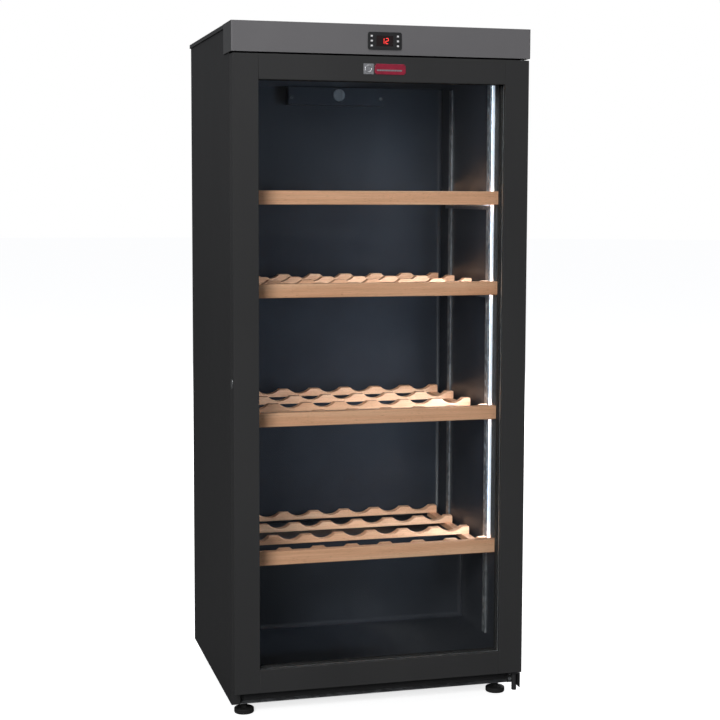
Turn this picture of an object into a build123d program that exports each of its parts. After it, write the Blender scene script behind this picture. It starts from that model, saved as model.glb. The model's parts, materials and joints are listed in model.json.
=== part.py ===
from build123d import *
import os

# All sizes are in millimetres. The origin is on the floor under the middle of the cabinet,
# +X to the right as seen from the front, +Y to the back and +Z up.

# ---- overall ----
BODY_WIDTH = 704.0          # cabinet and door
HEIGHT = 1608.0             # floor to the top of the cover
BODY_DEPTH = 560.0          # front sealing plane to the rear panel
REAR_ZONE = 30.0            # space behind the rear panel for the condenser
BASE_Z = 32.0               # underside of the cabinet above the floor

# ---- cabinet shell ----
SHEET = 1.0                 # painted steel sheet
SIDE_FLANGE = 21.0          # front return flange of a side panel, with the sheet
BASE_T = 2.0                # base plate
WALL_SIDE = 36.0            # side wall, sheet to liner face
WALL_BACK = 51.0
LINER_T = 2.5
LINER_RIM = 15.0            # front rim of the liner above and below the opening
FLOOR_Z = 118.0             # inner floor
CEILING_GAP = 105.0         # inner ceiling below the top of the cover
FOAM_UNDER = 45.0           # foam under the inner floor
STEP_DEPTH = 310.0          # depth of the bottom compartment
STEP_WALL = 45.0            # foam between the step and the bay
PLINTH_RECESS = 20.0
PLINTH_LIP = 8.0

# ---- top cover and fascia ----
COVER_T = 3.0
COVER_HANG = 3.0            # cover and fascia stand out of the cabinet side
COVER_LIP = 10.0
LOOSE = 0.3                 # general clearance between loose covers
FASCIA_H = 68.0
FASCIA_DEPTH = 100.0
FASCIA_R = 3.0

# ---- door ----
DOOR_T = 40.0
DOOR_GAP = 5.0              # door frame to the sealing plane
DOOR_BOTTOM = 70.0
DOOR_TOP_GAP = 4.0          # door top to the fascia
STILE = 59.0
RAIL_TOP = 57.0
RAIL_BOTTOM = 55.0
FRAME_WALL = 2.5
FRAME_LIP = 8.0             # frame in front of the glass
GROOVE = 12.0               # depth of the glass groove
PANE_T = 4.0
PANE_GAP = 10.0
PANE_EDGE = 0.5             # glass edge to groove bottom
SPACER_W = 9.0
GASKET_INSET = 18.0
GASKET_W = 14.0
END_BLOCK = 20.0            # solid ends of a stile

# ---- hinge ----
HINGE_INSET = 12.0          # pin axis from the door's edge
PIN_R = 4.0
PIN_CLEAR = 0.05
BUSH_R = 7.0
BUSH_LEN = 16.0
HINGE_PLATE = 3.0

# ---- lock ----
LOCK_Z = 791.0
LOCK_R = 9.0
PLUG_R = 6.0
CAM_T = 3.0
CAM_LEN = 34.0
CAM_W = 8.0
LOCK_PROUD = 1.0

# ---- controller ----
BEZEL_W = 80.0
BEZEL_H = 40.0
BEZEL_PROUD = 2.0
BEZEL_PLATE = 2.5
CASE_DEPTH = 22.0
CASE_WALL = 2.0
CONTROL_DROP = 37.0         # centre below the top of the cover
WINDOW_W = 40.0
WINDOW_H = 24.0
KEY_W = 5.0
KEY_H = 4.0
KEY_CLEAR = 0.2
KEY_TRAVEL = 0.8
KEY_X = 31.0
KEY_PITCH = 11.0
BOARD_T = 1.6

# ---- shelves ----
SHELF_TOPS = [1231.0, 1014.0, 711.0, 381.0]
SHELF_SETBACK = 40.0        # board face behind the sealing plane
SHELF_SIDE_GAP = 3.0
BOARD_H = 32.5
BOARD_D = 20.0
SHELF_LEN = 450.0           # board face to the rear end of the frame
FRAME_SIDE_GAP = 18.0       # wooden frame to the liner side, clear of the light
RAIL_W = 20.0
RAIL_H = 13.0
SLAT_D = 22.0
SLAT_COUNT = 4
CRADLE_PITCH = 83.5
CRADLE_R = 40.0
CRADLE_DEPTH = 12.0

# ---- shelf supports ----
UPRIGHT_T = 4.0
UPRIGHT_W = 20.0
UPRIGHT_FRONT = 112.0       # from the sealing plane
UPRIGHT_REAR = 410.0
HOLE_PITCH = 32.0
RUNNER_T = 2.0
RUNNER_LEDGE = 30.0
RUNNER_DROP = 12.0
RUNNER_START = 98.0
RUNNER_END = 450.0
RUNNER_CLEAR = 0.2

# ---- light ----
LIGHT_Y = 65.0
LIGHT_W = 25.0
LIGHT_T = 8.0
LIGHT_WALL = 1.5

# ---- air duct ----
DUCT_X0 = -110.0
DUCT_X1 = 146.0
DUCT_H = 46.0
DUCT_DEPTH = 30.0
DUCT_WALL = 2.0
DUCT_DROP = 2.0             # top of the cover below the inner ceiling
VENT_X = 25.0
FILTER_R = 15.5
FILTER_LUG = 2.0            # reach of the bayonet lugs beyond the filter
FAN_HALF = 15.8
FAN_T = 14.0
ROTOR_R = 13.5
FAN_PIN_R = 1.5
DUCT_SLOTS = 9
DUCT_SLOT_PITCH = 10.0
DUCT_SLOT_W = 4.0
FILTER_SLOT_PITCH = 5.0
FAN_BLADES = 5
BLADE_ANGLE = 35.0

# ---- cooling ----
TUBE_R = 2.5
STRIP_T = 2.0
COIL_PITCH = 60.0
COIL_HALF = 290.0
COIL_BOTTOM = 345.0
COIL_ROWS = 18
COMP_X = -180.0
COMP_R = 68.0
COMP_H = 160.0
COMP_BEND = 30.0
GROMMET_H = 12.0
FOOT_PLATE = 3.0
PAN_H = 30.0
PAN_WALL = 2.5
EVAP_T = 1.5
CHANNEL_T = 2.0             # raised channels of the evaporator
CHANNEL_PITCH = 90.0
SUCTION_R = 3.0
DRIER_X = 60.0
DRIER_R = 8.0
COMP_PLATE_X = 100.0        # half sizes of the compressor's foot plate
COMP_PLATE_Y = 62.0
COMP_BOLT_X = 85.0
COMP_BOLT_Y = 50.0
PAN_X = 75.0                # half sizes of the drain pan
PAN_Y = 60.0
INLET_X = 270.0             # appliance inlet
INLET_LIFT = 20.0           # its middle above the base plate
MOUTH_X = 12.3
MOUTH_Z = 8.4
MOUTH_DEPTH = 18.0

# ---- feet ----
FOOT_R = 23.5
FOOT_PAD = 12.0
FOOT_X = 315.0
FOOT_Y = 40.0               # from the sealing plane
STUD_R = 5.0
STUD_CLEAR = 0.05
STUD_TOP = 66.0
NUT_H = 10.0
REAR_FOOT_Y = 60.0          # from the rear panel

# ---- worked out from the above ----
DEPTH = BEZEL_PROUD + DOOR_T + DOOR_GAP + BODY_DEPTH + REAR_ZONE
HALF = BODY_WIDTH / 2
DOOR_FRONT = -DEPTH / 2 + BEZEL_PROUD
DOOR_BACK = DOOR_FRONT + DOOR_T
FRONT = DOOR_BACK + DOOR_GAP            # sealing plane
BACK = FRONT + BODY_DEPTH               # outer face of the rear panel
INNER = HALF - WALL_SIDE
INNER_BACK = BACK - WALL_BACK
ROOF = HEIGHT - COVER_T
CEILING = HEIGHT - CEILING_GAP
FASCIA_Z = HEIGHT - FASCIA_H
DOOR_TOP = FASCIA_Z - DOOR_TOP_GAP
STEP_Y = FRONT + STEP_DEPTH
STEP_TOP = SHELF_TOPS[-1] - BOARD_H - RUNNER_CLEAR     # the lowest shelf runs back over the step
BAY_Y = STEP_Y + STEP_WALL              # front of the compressor bay
BAY_Z = STEP_TOP - STEP_WALL            # top of the compressor bay
UNDER_Z = FLOOR_Z - FOAM_UNDER          # underside of the foam
RIM = HALF - SIDE_FLANGE                # the liner rim meets the flanges of the side panels
HINGE_X = HALF - HINGE_INSET
HINGE_Y = DOOR_FRONT + DOOR_T / 2
CONTROL_Z = HEIGHT - CONTROL_DROP
GLASS_Y = DOOR_FRONT + FRAME_LIP
GLASS_T = 2 * PANE_T + PANE_GAP
OPEN_X = HALF - STILE                   # visible glass half width
OPEN_Z0 = DOOR_BOTTOM + RAIL_BOTTOM
OPEN_Z1 = DOOR_TOP - RAIL_TOP
VENT_Z = CEILING - DUCT_DROP - DUCT_WALL - FILTER_R - FILTER_LUG - LOOSE
COIL_Y = BACK + REAR_ZONE - STRIP_T - TUBE_R
COMP_Y = (BAY_Y + BACK) / 2
COMP_BASE = BASE_Z + BASE_T + GROMMET_H


def block(x0, x1, y0, y1, z0, z1):
    """A block between two corners."""
    return Pos((x0 + x1) / 2, (y0 + y1) / 2, (z0 + z1) / 2) * Box(x1 - x0, y1 - y0, z1 - z0)


def rod_z(x, y, z0, z1, r):
    return Pos(x, y, (z0 + z1) / 2) * Cylinder(r, z1 - z0)


def rod_y(x, z, y0, y1, r):
    return Pos(x, (y0 + y1) / 2, z) * Rot(90, 0, 0) * Cylinder(r, y1 - y0)


def rod_x(y, z, x0, x1, r):
    return Pos((x0 + x1) / 2, y, z) * Rot(0, 90, 0) * Cylinder(r, x1 - x0)


def side_profile(points, half_width):
    """A shape drawn in the Y-Z plane and carried across the cabinet."""
    face = make_face(Polyline([(0, y, z) for y, z in points], close=True))
    return extrude(face, half_width, dir=(1, 0, 0), both=True)


def tube(points, r, bend):
    """A round pipe through points, with every corner bent to one radius."""
    path = FilletPolyline(points, radius=bend)
    return sweep(Plane(path @ 0, z_dir=path % 0) * Circle(r), path)


def save(name, *solids):
    """Write one sub-part; its separate pieces stay separate solids."""
    pieces = []
    for solid in solids:
        pieces.extend(solid.solids())
    shape = pieces[0] if len(pieces) == 1 else Compound(children=pieces)
    export_step(shape, f"parts/{name}.step")


def screw(x, y, z, axis, length, head_r=4.0, head_t=2.5, shank_r=2.0):
    """A pan-head screw whose head rests on the point and whose shank runs along the axis."""
    shape = Pos(0, 0, length / 2) * Cylinder(shank_r, length)
    shape += Pos(0, 0, -head_t / 2) * Cylinder(head_r, head_t)
    return Plane((x, y, z), z_dir=axis) * shape


def cabinet_screws():
    """Screws of the hinge plates, rear panel and duct cover."""
    screws = []
    for z in (BASE_Z + 10, BASE_Z + 24):
        screws.append(screw(HALF - 15, FRONT - HINGE_PLATE, z, (0, 1, 0), 12))
    for x in (HALF - 47, HALF - 15):
        screws.append(screw(x, FRONT - HINGE_PLATE, FASCIA_Z + 35, (0, 1, 0), 12))
    for x in (-HALF + 30, HALF - 30):
        for z in (BAY_Z + 40, (BAY_Z + ROOF) / 2, ROOF - 40):
            screws.append(screw(x, BACK, z, (0, -1, 0), 14))
    for x in (DUCT_X0 + 8, DUCT_X1 - 8):
        screws.append(screw(x, INNER_BACK - DUCT_DEPTH, VENT_Z - 8, (0, 1, 0), DUCT_DEPTH + 10))
    return screws


def comp_corners():
    return [(COMP_X + sx * COMP_BOLT_X, COMP_Y + sy * COMP_BOLT_Y) for sx in (-1, 1) for sy in (-1, 1)]


SCREWS = cabinet_screws()


def cut_screws(shape, screws=SCREWS):
    """Holes for the screws that pass through a sheet or wall."""
    box = shape.bounding_box()
    for one in screws:
        if box.overlaps(one.bounding_box()):
            shape -= one
    return shape


# ---------------------------------------------------------------- cabinet

def lock_slot():
    """The path of the lock cam behind the sealing plane."""
    return block(-HALF + 7, -HALF + 16, FRONT, FRONT + 15, LOCK_Z - 8, LOCK_Z + 30)


def side_panel(side):
    """Folded steel side with a front flange and a rear flange beside the compressor bay."""
    def span(a, b):
        return (min(side * a, side * b), max(side * a, side * b))
    shape = block(*span(HALF - SHEET, HALF), FRONT, BACK, BASE_Z, ROOF - SHEET)
    shape += block(*span(HALF - SIDE_FLANGE, HALF), FRONT, FRONT + SHEET, BASE_Z, ROOF - SHEET)
    shape += block(*span(HALF - 16, HALF), BACK - SHEET, BACK, BASE_Z, BAY_Z - SHEET)
    if side < 0:
        shape -= lock_slot()
    return cut_screws(shape)


def roof_panel():
    shape = block(-HALF, HALF, FRONT, BACK, ROOF - SHEET, ROOF)
    inner = HALF - SIDE_FLANGE
    shape += block(-inner, inner, FRONT, FRONT + SHEET, CEILING + LINER_RIM, ROOF)
    return cut_screws(shape)


def rear_panel():
    inner = HALF - SHEET
    return cut_screws(block(-inner, inner, BACK - SHEET, BACK, BAY_Z, ROOF - SHEET))


def compressor_bay_panel():
    """Folded sheet under the foam: floor, riser and ceiling of the compressor bay."""
    inner = HALF - SHEET
    shape = block(-inner, inner, FRONT + SHEET, BAY_Y, UNDER_Z - SHEET, UNDER_Z)
    shape += block(-inner, inner, BAY_Y - SHEET, BAY_Y, UNDER_Z, BAY_Z)
    shape += block(-inner, inner, BAY_Y - SHEET, BACK, BAY_Z - SHEET, BAY_Z)
    return shape - suction_hole()


def front_plinth():
    """One folded sheet: sealing face under the liner, then the recessed kick plate."""
    flange = HALF - SIDE_FLANGE
    inner = HALF - SHEET
    kick = FRONT + PLINTH_RECESS
    top = UNDER_Z - SHEET
    shape = block(-flange, flange, FRONT, FRONT + SHEET, top - SHEET, FLOOR_Z - LINER_RIM)
    shape += block(-flange, flange, FRONT, kick + SHEET, top - SHEET, top)
    shape += block(-inner, inner, kick, kick + SHEET, BASE_Z + BASE_T, top)
    shape += block(-inner, inner, kick, kick + PLINTH_LIP, BASE_Z + BASE_T, BASE_Z + BASE_T + SHEET)
    return shape


def foot_places():
    return [(side * FOOT_X, FRONT + FOOT_Y) for side in (-1, 1)]


def base_plate():
    """Floor pan with upturned sides and welded nuts for the levelling feet."""
    inner = HALF - SHEET
    y0 = FRONT + SHEET + 1
    y1 = BACK - SHEET
    shape = block(-inner, inner, y0, y1, BASE_Z, BASE_Z + BASE_T)
    for side in (-1, 1):
        x0, x1 = sorted((side * inner, side * (inner - BASE_T)))
        shape += block(x0, x1, FRONT + PLINTH_RECESS + 22, y1, BASE_Z, BASE_Z + 25)
    for x, y in foot_places():
        shape += rod_z(x, y, BASE_Z, BASE_Z + BASE_T + NUT_H, 9)
        shape -= rod_z(x, y, BASE_Z - 1, STUD_TOP, STUD_R + STUD_CLEAR)
    for x, y in comp_corners():
        shape -= rod_z(x, y, BASE_Z - 1, BASE_Z + BASE_T + 1, 3)
    return shape


def cavity_points(grow):
    """Y-Z outline of the inner space, grown into the walls by grow."""
    return [
        (FRONT, FLOOR_Z - grow),
        (STEP_Y + grow, FLOOR_Z - grow),
        (STEP_Y + grow, STEP_TOP - grow),
        (INNER_BACK + grow, STEP_TOP - grow),
        (INNER_BACK + grow, CEILING + grow),
        (FRONT, CEILING + grow),
    ]


def liner_rim():
    return block(-RIM, RIM, FRONT, FRONT + LINER_T, FLOOR_Z - LINER_RIM, CEILING + LINER_RIM)


def inner_liner():
    """Moulded liner: the stepped inner space with a rim on the sealing plane."""
    shell = side_profile(cavity_points(LINER_T), INNER + LINER_T) + liner_rim()
    return cut_screws(shell - side_profile(cavity_points(0), INNER))


def evaporator_plate():
    """Roll-bond plate foamed in behind the liner, with its raised channels and outlet stub."""
    y0 = INNER_BACK + LINER_T
    shape = block(-250, 250, y0, y0 + EVAP_T, STEP_TOP + 80, CEILING - 100)
    top = CEILING - 140
    y1 = y0 + EVAP_T + CHANNEL_T
    z = STEP_TOP + 120
    while z < top:
        shape += block(-230, 230, y0 + EVAP_T, y1, z - 3, z + 3)
        z += CHANNEL_PITCH
    return shape + block(suction_x() - 3, suction_x() + 3, y0 + EVAP_T, y1, STEP_TOP + 80, top)


def suction_x():
    return -221.0


def suction_y():
    return INNER_BACK + LINER_T + EVAP_T + CHANNEL_T + 6


def suction_hole():
    """Hole for the suction pipe through the bay ceiling and the foam above it."""
    return rod_z(suction_x(), suction_y(), BAY_Z - 2 * SHEET, STEP_TOP + 82, SUCTION_R + 0.2)


def insulation_foam():
    """Foam that fills the walls between the steel and the liner."""
    inner = HALF - SHEET
    y0 = FRONT + LINER_T
    outline = [
        (y0, UNDER_Z),
        (BAY_Y - SHEET, UNDER_Z),
        (BAY_Y - SHEET, BAY_Z),
        (BACK - SHEET, BAY_Z),
        (BACK - SHEET, ROOF - SHEET),
        (y0, ROOF - SHEET),
    ]
    shape = side_profile(outline, inner)
    shape -= side_profile(cavity_points(LINER_T), INNER + LINER_T)
    shape -= evaporator_plate()
    shape -= suction_hole()
    shape -= lock_slot()
    return cut_screws(shape)


def top_cover():
    """Cover on the roof with a lip along the sides and the back."""
    outer = HALF + COVER_HANG
    y0 = DOOR_FRONT + FASCIA_DEPTH
    shape = block(-outer, outer, y0, BACK + COVER_HANG, HEIGHT - COVER_LIP, HEIGHT)
    inner = HALF + LOOSE
    return shape - block(-inner, inner, y0 - 1, BACK + LOOSE, HEIGHT - COVER_LIP - 1, ROOF)


def plan_block(half, y0, y1, z0, z1, r):
    """A block with rounded front corners in plan."""
    shape = block(-half, half, y0, y1, z0, z1)
    edges = shape.edges().filter_by(Axis.Z).group_by(Axis.Y)[0]
    return fillet(edges, r)


def control_fascia():
    """Moulded front cap that wraps round the corners above the door."""
    outer = HALF + COVER_HANG
    y1 = DOOR_FRONT + FASCIA_DEPTH
    wall = COVER_HANG - LOOSE
    shape = plan_block(outer, DOOR_FRONT, y1, FASCIA_Z, HEIGHT, FASCIA_R)
    shape -= plan_block(outer - wall, DOOR_FRONT + wall, y1 + 1, FASCIA_Z + COVER_T, ROOF, FASCIA_R - wall)
    over = HALF + LOOSE
    shape -= block(-over, over, FRONT - LOOSE, y1 + 1, FASCIA_Z - 1, ROOF)
    half_w = BEZEL_W / 2 - 3
    half_h = BEZEL_H / 2 - 3
    shape -= block(-half_w, half_w, DOOR_FRONT - 1, DOOR_FRONT + wall + 1,
                   CONTROL_Z - half_h, CONTROL_Z + half_h)
    return shape - rod_z(HINGE_X, HINGE_Y, FASCIA_Z - 1, FASCIA_Z + COVER_T + 1, PIN_R + 2)


# ------------------------------------------------------------- controller

def key_places():
    """Name and place of each key: two columns of three."""
    places = []
    for side, name in ((-1, "left"), (1, "right")):
        for row in range(3):
            places.append((f"button_{name}_{row + 1}", side * KEY_X, CONTROL_Z + (1 - row) * KEY_PITCH))
    return places


def controller_case():
    front = DOOR_FRONT - BEZEL_PROUD
    bezel = block(-BEZEL_W / 2, BEZEL_W / 2, front, DOOR_FRONT,
                  CONTROL_Z - BEZEL_H / 2, CONTROL_Z + BEZEL_H / 2)
    bezel = fillet(bezel.edges().filter_by(Axis.Y), 5)
    half_w = BEZEL_W / 2 - 3 - LOOSE
    half_h = BEZEL_H / 2 - 3 - LOOSE
    shape = bezel + block(-half_w, half_w, DOOR_FRONT, DOOR_FRONT + CASE_DEPTH,
                          CONTROL_Z - half_h, CONTROL_Z + half_h)
    shape -= block(-half_w + CASE_WALL, half_w - CASE_WALL,
                   front + BEZEL_PLATE, DOOR_FRONT + CASE_DEPTH + 1,
                   CONTROL_Z - half_h + CASE_WALL, CONTROL_Z + half_h - CASE_WALL)
    shape -= block(-WINDOW_W / 2, WINDOW_W / 2, front - 1, front + BEZEL_PLATE + 1,
                   CONTROL_Z - WINDOW_H / 2, CONTROL_Z + WINDOW_H / 2)
    for _, x, z in key_places():
        w = KEY_W / 2 + KEY_CLEAR
        h = KEY_H / 2 + KEY_CLEAR
        shape -= block(x - w, x + w, front - 1, front + BEZEL_PLATE + 1, z - h, z + h)
    return shape


def display_window():
    front = DOOR_FRONT - BEZEL_PROUD
    return block(-WINDOW_W / 2, WINDOW_W / 2, front, front + BEZEL_PLATE,
                 CONTROL_Z - WINDOW_H / 2, CONTROL_Z + WINDOW_H / 2)


def board_y():
    return DOOR_FRONT + CASE_DEPTH - 4


def control_board():
    """Circuit board inside the case with the display module that meets the window."""
    half_w = BEZEL_W / 2 - 3 - LOOSE - CASE_WALL
    half_h = BEZEL_H / 2 - 3 - LOOSE - CASE_WALL
    shape = block(-half_w, half_w, board_y(), board_y() + BOARD_T, CONTROL_Z - half_h, CONTROL_Z + half_h)
    return shape + block(-WINDOW_W / 2 + 2, WINDOW_W / 2 - 2, DOOR_FRONT - BEZEL_PROUD + BEZEL_PLATE,
                         board_y(), CONTROL_Z - WINDOW_H / 2 + 2, CONTROL_Z + WINDOW_H / 2 - 2)


def button(x, z):
    """Key cap through the bezel, a retaining flange behind it and a stem towards the board."""
    front = DOOR_FRONT - BEZEL_PROUD
    plate = front + BEZEL_PLATE
    shape = block(x - KEY_W / 2, x + KEY_W / 2, front, plate, z - KEY_H / 2, z + KEY_H / 2)
    shape += block(x - KEY_W / 2 - 0.8, x + KEY_W / 2 + 0.8, plate, plate + 1,
                   z - KEY_H / 2 - 0.8, z + KEY_H / 2 + 0.8)
    return shape + block(x - 1.5, x + 1.5, plate + 1, board_y() - KEY_TRAVEL - 0.3, z - 1.5, z + 1.5)


# ------------------------------------------------------------------- door

def glass_groove():
    """The space of the glass unit inside the frame."""
    x = OPEN_X + GROOVE
    return block(-x, x, GLASS_Y, GLASS_Y + GLASS_T, OPEN_Z0 - GROOVE, OPEN_Z1 + GROOVE)


def bush_hole(z0, z1):
    return rod_z(HINGE_X, HINGE_Y, z0, z1, BUSH_R)


def door_stile(side):
    """Hollow upright profile of the door with a glass groove and solid ends."""
    x0, x1 = sorted((side * HALF, side * OPEN_X))
    shape = block(x0, x1, DOOR_FRONT, DOOR_BACK, DOOR_BOTTOM, DOOR_TOP)
    c0, c1 = sorted((side * (HALF - FRAME_WALL), side * (OPEN_X + GROOVE + FRAME_WALL)))
    shape -= block(c0, c1, DOOR_FRONT + FRAME_WALL, DOOR_BACK - FRAME_WALL,
                   DOOR_BOTTOM + END_BLOCK, DOOR_TOP - END_BLOCK)
    shape -= glass_groove()
    if side > 0:
        shape -= bush_hole(DOOR_BOTTOM - 1, DOOR_BOTTOM + END_BLOCK + 1)
        shape -= bush_hole(DOOR_TOP - END_BLOCK - 1, DOOR_TOP + 1)
    else:
        shape -= rod_x(HINGE_Y, LOCK_Z, -HALF - 1, -HALF + FRAME_WALL + 1, LOCK_R)
        shape -= block(-HALF + 8.4, -HALF + 13.6, DOOR_BACK - FRAME_WALL - 1, DOOR_BACK + 1,
                       LOCK_Z - 6, LOCK_Z + 33)
    return shape


def door_rail(z0, z1, chamber_z0, chamber_z1):
    """Hollow cross profile between the stiles, open at its ends."""
    shape = block(-OPEN_X, OPEN_X, DOOR_FRONT, DOOR_BACK, z0, z1)
    shape -= block(-OPEN_X - 1, OPEN_X + 1, DOOR_FRONT + FRAME_WALL, DOOR_BACK - FRAME_WALL,
                   chamber_z0, chamber_z1)
    return shape - glass_groove()


def door_rail_top():
    return door_rail(OPEN_Z1, DOOR_TOP, OPEN_Z1 + GROOVE + FRAME_WALL, DOOR_TOP - FRAME_WALL)


def door_rail_bottom():
    return door_rail(DOOR_BOTTOM, OPEN_Z0, DOOR_BOTTOM + FRAME_WALL, OPEN_Z0 - GROOVE - FRAME_WALL)


def pane(y):
    x = OPEN_X + GROOVE - PANE_EDGE
    return block(-x, x, y, y + PANE_T, OPEN_Z0 - GROOVE + PANE_EDGE, OPEN_Z1 + GROOVE - PANE_EDGE)


def glass_spacer():
    x = OPEN_X + GROOVE - PANE_EDGE
    z0 = OPEN_Z0 - GROOVE + PANE_EDGE
    z1 = OPEN_Z1 + GROOVE - PANE_EDGE
    y0 = GLASS_Y + PANE_T
    ring = block(-x, x, y0, y0 + PANE_GAP, z0, z1)
    return ring - block(-x + SPACER_W, x - SPACER_W, y0, y0 + PANE_GAP, z0 + SPACER_W, z1 - SPACER_W)


def door_gasket():
    """Magnetic gasket on the back of the door frame, just clear of the sealing plane."""
    x = HALF - GASKET_INSET
    z0 = DOOR_BOTTOM + GASKET_INSET
    z1 = DOOR_TOP - GASKET_INSET
    ring = block(-x, x, DOOR_BACK, FRONT - LOOSE, z0, z1)
    w = GASKET_W
    return ring - block(-x + w, x - w, DOOR_BACK - 1, FRONT, z0 + w, z1 - w)


def lock_barrel():
    shape = rod_x(HINGE_Y, LOCK_Z, -HALF - LOCK_PROUD, -HALF, LOCK_R + 2)
    shape += rod_x(HINGE_Y, LOCK_Z, -HALF, -HALF + 9, LOCK_R)
    return shape - rod_x(HINGE_Y, LOCK_Z, -HALF - LOCK_PROUD - 1, -HALF + 10, PLUG_R + PIN_CLEAR)


def lock_plug():
    """Lock cylinder with its key slot and the cam, which points up when unlocked."""
    shape = rod_x(HINGE_Y, LOCK_Z, -HALF - LOCK_PROUD, -HALF + 9.5, PLUG_R)
    cam_x = -HALF + 9.5
    shape += block(cam_x, cam_x + CAM_T, HINGE_Y - CAM_W / 2, HINGE_Y + CAM_W / 2, LOCK_Z, LOCK_Z + CAM_LEN)
    shape += rod_x(HINGE_Y, LOCK_Z, cam_x, cam_x + CAM_T, CAM_W / 2 + 1)
    return shape - block(-HALF - LOCK_PROUD - 1, -HALF + 5,
                         HINGE_Y - 0.8, HINGE_Y + 0.8, LOCK_Z - 4, LOCK_Z + 4)


def door_badge():
    z = (OPEN_Z1 + DOOR_TOP) / 2
    plate = block(-50, 50, DOOR_FRONT - 1.5, DOOR_FRONT, z - 12, z + 12)
    return fillet(plate.edges().filter_by(Axis.Y), 4)


def hinge_bushes():
    shapes = []
    for z0 in (DOOR_BOTTOM, DOOR_TOP - BUSH_LEN):
        shapes.append(rod_z(HINGE_X, HINGE_Y, z0, z0 + BUSH_LEN, BUSH_R)
                      - rod_z(HINGE_X, HINGE_Y, z0 - 1, z0 + BUSH_LEN + 1, PIN_R + PIN_CLEAR))
    return shapes


def hinge_bracket_lower():
    """Steel bracket on the front flange that carries the lower pin."""
    t = HINGE_PLATE
    leaf_top = DOOR_BOTTOM - 4
    x0 = HALF - SIDE_FLANGE
    shape = block(x0, HALF, FRONT - t, FRONT, BASE_Z + 2, leaf_top)
    shape += block(x0, HALF, HINGE_Y - 11, FRONT, leaf_top - t, leaf_top)
    shape += block(HALF - t, HALF, HINGE_Y - 11, FRONT, BASE_Z - 2, leaf_top)
    shape += rod_z(HINGE_X, HINGE_Y, BASE_Z - 10, leaf_top, PIN_R + 2)
    shape += rod_z(HINGE_X, HINGE_Y, leaf_top, DOOR_BOTTOM + BUSH_LEN - 2, PIN_R)
    return cut_screws(shape)


def hinge_bracket_upper():
    """Steel bracket on the roof flange; its pin passes down through the fascia."""
    t = HINGE_PLATE
    z0 = FASCIA_Z + COVER_T + LOOSE
    shape = block(HALF - 60, HALF, FRONT - t, FRONT, z0, FASCIA_Z + 50)
    shape += block(HALF - 30, HALF - 4, HINGE_Y - 8, FRONT, z0, z0 + t)
    shape += rod_z(HINGE_X, HINGE_Y, DOOR_TOP - BUSH_LEN + 2, z0, PIN_R)
    return cut_screws(shape)


# ---------------------------------------------------------------- shelves

def shelf_board(top):
    """Plain beech board across the front of a shelf."""
    x = INNER - SHELF_SIDE_GAP
    y = FRONT + SHELF_SETBACK
    board = block(-x, x, y, y + BOARD_D, top - BOARD_H, top)
    return fillet(board.edges().filter_by(Axis.X), 2)


def slat(y, top, half):
    """Cross slat with a row of round cradles along its top."""
    rail_top = top - BOARD_H + RAIL_H
    shape = block(-half, half, y, y + SLAT_D, rail_top, top)
    count = int(2 * half // CRADLE_PITCH)
    for i in range(count):
        x = (i - (count - 1) / 2) * CRADLE_PITCH
        shape -= rod_y(x, top - CRADLE_DEPTH + CRADLE_R, y - 1, y + SLAT_D + 1, CRADLE_R)
    return shape


def shelf_frame(top):
    """Two side rails with the scalloped slats on them."""
    half = INNER - FRAME_SIDE_GAP
    y0 = FRONT + SHELF_SETBACK + BOARD_D
    y1 = FRONT + SHELF_SETBACK + SHELF_LEN
    base = top - BOARD_H
    pieces = []
    for side in (-1, 1):
        x0, x1 = sorted((side * half, side * (half - RAIL_W)))
        pieces.append(block(x0, x1, y0, y1, base, base + RAIL_H))
    step = (y1 - y0 - SLAT_D) / (SLAT_COUNT - 1)
    for i in range(SLAT_COUNT):
        pieces.append(slat(y0 + i * step, top, half))
    return pieces


def shelf_uprights():
    """Four perforated steel uprights on the liner sides; the rear pair stands on the step."""
    pieces = []
    for side in (-1, 1):
        for y, z0 in ((UPRIGHT_FRONT, FLOOR_Z + 8), (UPRIGHT_REAR, STEP_TOP + 8)):
            z1 = CEILING - 8
            x0, x1 = sorted((side * INNER, side * (INNER - UPRIGHT_T)))
            bar = block(x0, x1, FRONT + y, FRONT + y + UPRIGHT_W, z0, z1)
            count = int((z1 - z0 - 10) // HOLE_PITCH)
            middle = (x0 + x1) / 2
            holes = [Pos(middle, FRONT + y + UPRIGHT_W / 2, z0 + HOLE_PITCH * (i + 0.75)) * Box(9, 5, 12)
                     for i in range(count)]
            pieces.append(bar - holes)
    return pieces


def shelf_runners():
    """A pair of steel ledges under each shelf, hooked on the uprights."""
    pieces = []
    for top in SHELF_TOPS:
        z = top - BOARD_H - RUNNER_CLEAR
        end = FRONT + RUNNER_END if z > STEP_TOP + RUNNER_DROP else STEP_Y - 4
        for side in (-1, 1):
            face = INNER - UPRIGHT_T
            x0, x1 = sorted((side * face, side * (face - RUNNER_LEDGE)))
            w0, w1 = sorted((side * face, side * (face - RUNNER_T)))
            ledge = block(x0, x1, FRONT + RUNNER_START, end, z - RUNNER_T, z)
            pieces.append(ledge + block(w0, w1, FRONT + RUNNER_START, end, z - RUNNER_DROP, z))
    return pieces


def light_box(x0, x1, y0, y1):
    return block(x0, x1, FRONT + y0, FRONT + y1, STEP_TOP, CEILING - 6)


def light_diffuser():
    """Opal cover that slides into the mouth of the light housing."""
    y0 = LIGHT_Y + LIGHT_WALL
    y1 = LIGHT_Y + LIGHT_W - LIGHT_WALL
    return light_box(INNER - LIGHT_T, INNER - LIGHT_T + 2.5, y0, y1)


def light_housing():
    shape = light_box(INNER - LIGHT_T, INNER, LIGHT_Y, LIGHT_Y + LIGHT_W)
    y0 = LIGHT_Y + LIGHT_WALL
    y1 = LIGHT_Y + LIGHT_W - LIGHT_WALL
    return shape - light_box(INNER - LIGHT_T - 1, INNER - LIGHT_WALL, y0, y1)


# ---------------------------------------------------------------- air duct

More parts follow.
